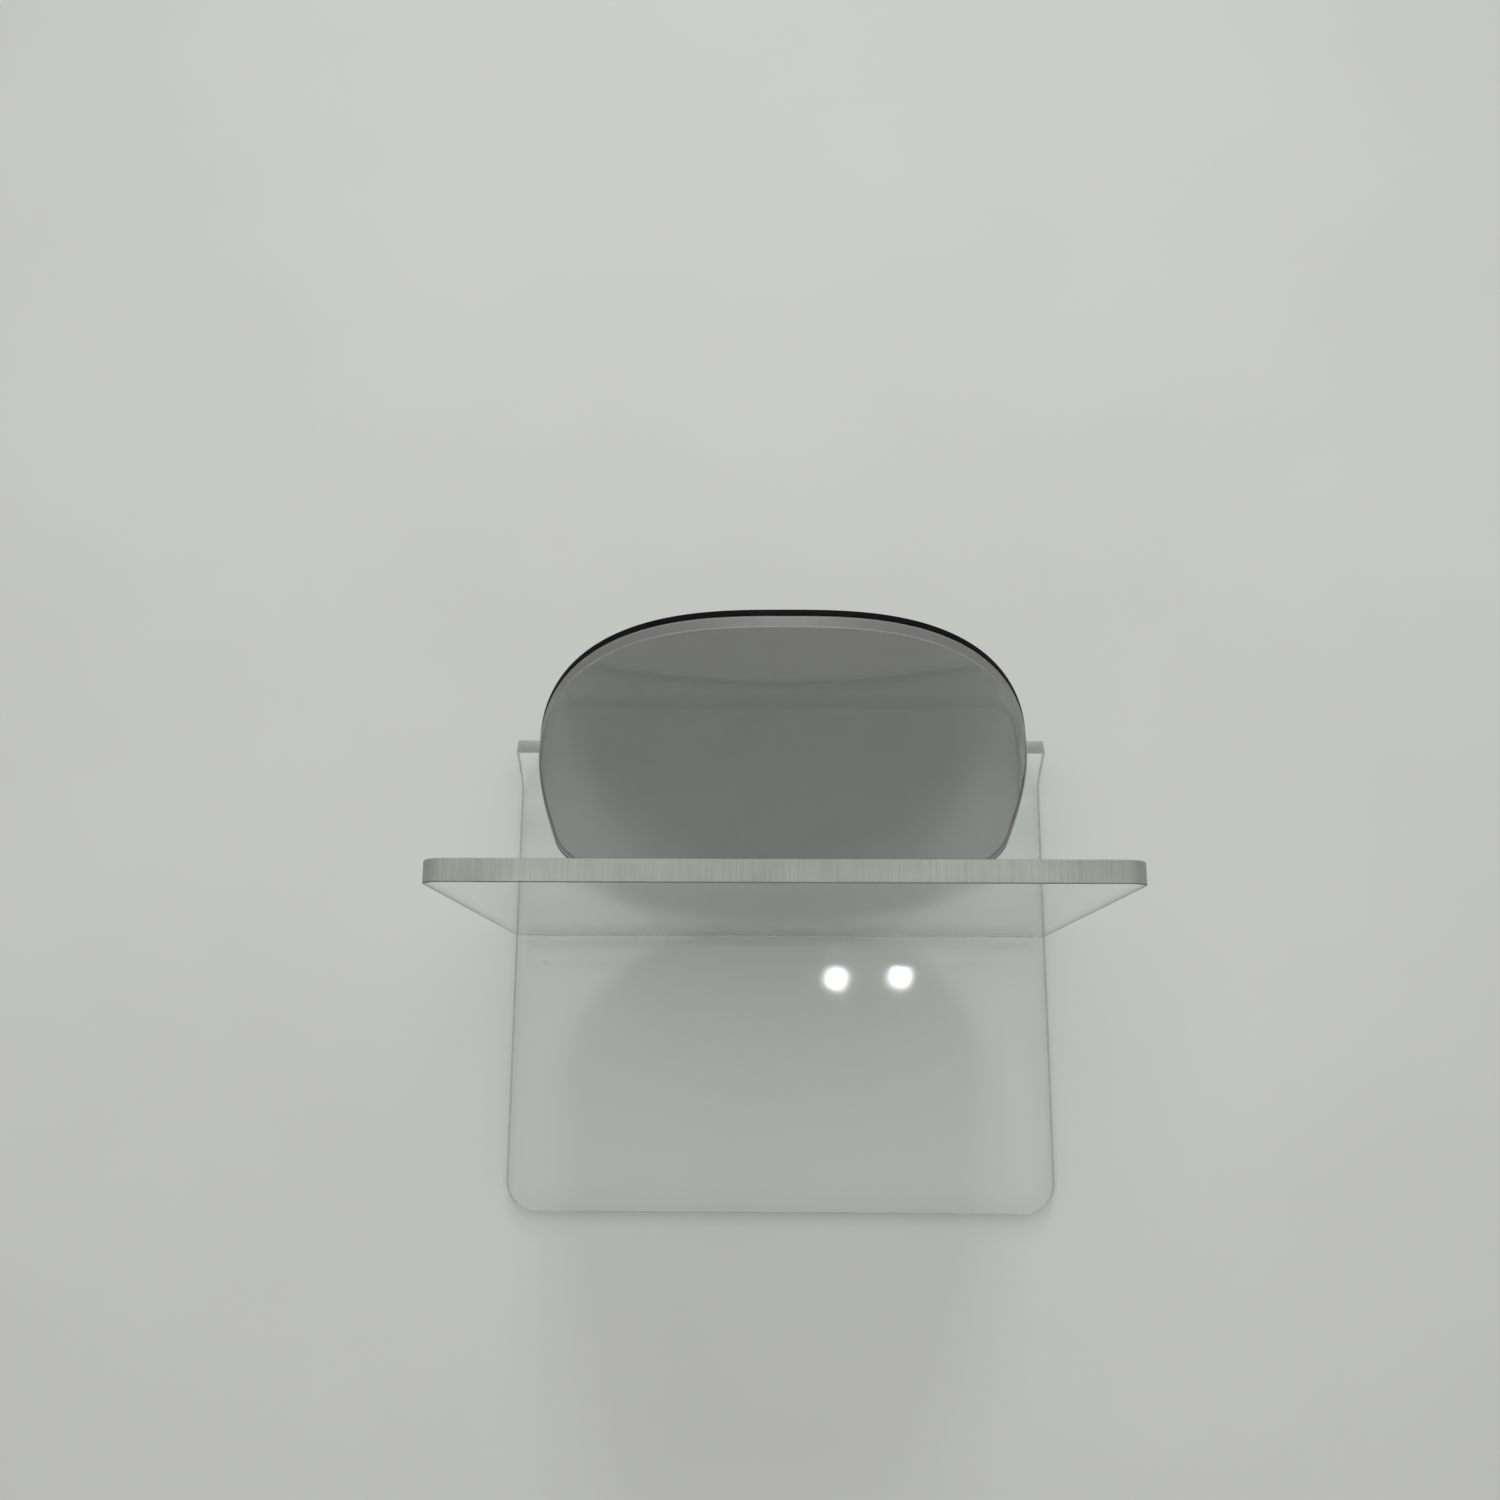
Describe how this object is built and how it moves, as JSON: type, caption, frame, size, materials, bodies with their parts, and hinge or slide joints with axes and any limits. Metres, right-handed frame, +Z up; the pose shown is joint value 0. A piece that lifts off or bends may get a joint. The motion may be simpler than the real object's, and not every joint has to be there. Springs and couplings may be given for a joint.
{
  "type": "countertop mirror",
  "caption": "Rounded easel-back mirror that leans behind a clear upright panel, standing loose in a clear bent-sheet tray with a low rear lip.",
  "frame": {"origin": "on the surface that the tray stands on, below the middle of the whole object's box", "axes": "+Z up, +X to the right of someone who looks into the mirror, +Y away from them, from the panel towards the rear lip"},
  "size_m": [0.18, 0.1558, 0.1756],
  "materials": {
    "clear_acrylic": "clear cast sheet, polished faces, saw-cut edges with a grey-green tint",
    "dried_cement": "clear dried solvent cement, glossy",
    "mirror_acrylic": "clear front layer of the mirror, polished face, light cut edge",
    "silvered_film": "grey reflecting layer behind the clear front",
    "black_board": "black, fine matte grain",
    "plated_steel": "thin plated sheet steel, softly brushed"
  },
  "bodies": {
    "stand": {"base_tray": "clear_acrylic", "front_panel": "clear_acrylic", "panel_cement_front": "dried_cement", "panel_cement_rear": "dried_cement"},
    "mirror": {"mirror_pane": "mirror_acrylic", "mirror_film": "silvered_film", "backing_board": "black_board", "strut_hinge_plate": "plated_steel", "hinge_pin": "plated_steel", "hinge_plate_rivet_1": "plated_steel", "hinge_plate_rivet_2": "plated_steel", "hinge_plate_rivet_3": "plated_steel", "hinge_plate_rivet_4": "plated_steel"},
    "strut": {"easel_strut": "black_board", "strut_hinge_leaf": "plated_steel", "strut_rivet_1": "plated_steel", "strut_rivet_2": "plated_steel", "strut_rivet_3": "plated_steel"}
  },
  "joints": [
    {"name": "mirror_lift_out", "type": "slide", "parent": "stand", "child": "mirror", "axis": [0, 0, 1], "range_m": [0, 0.15]},
    {"name": "strut_fold", "type": "hinge", "parent": "mirror", "child": "strut", "pos_m": [0, 0.05731, 0.10708], "axis": [-1, 0, 0], "range_deg": [0, 16]}
  ]
}
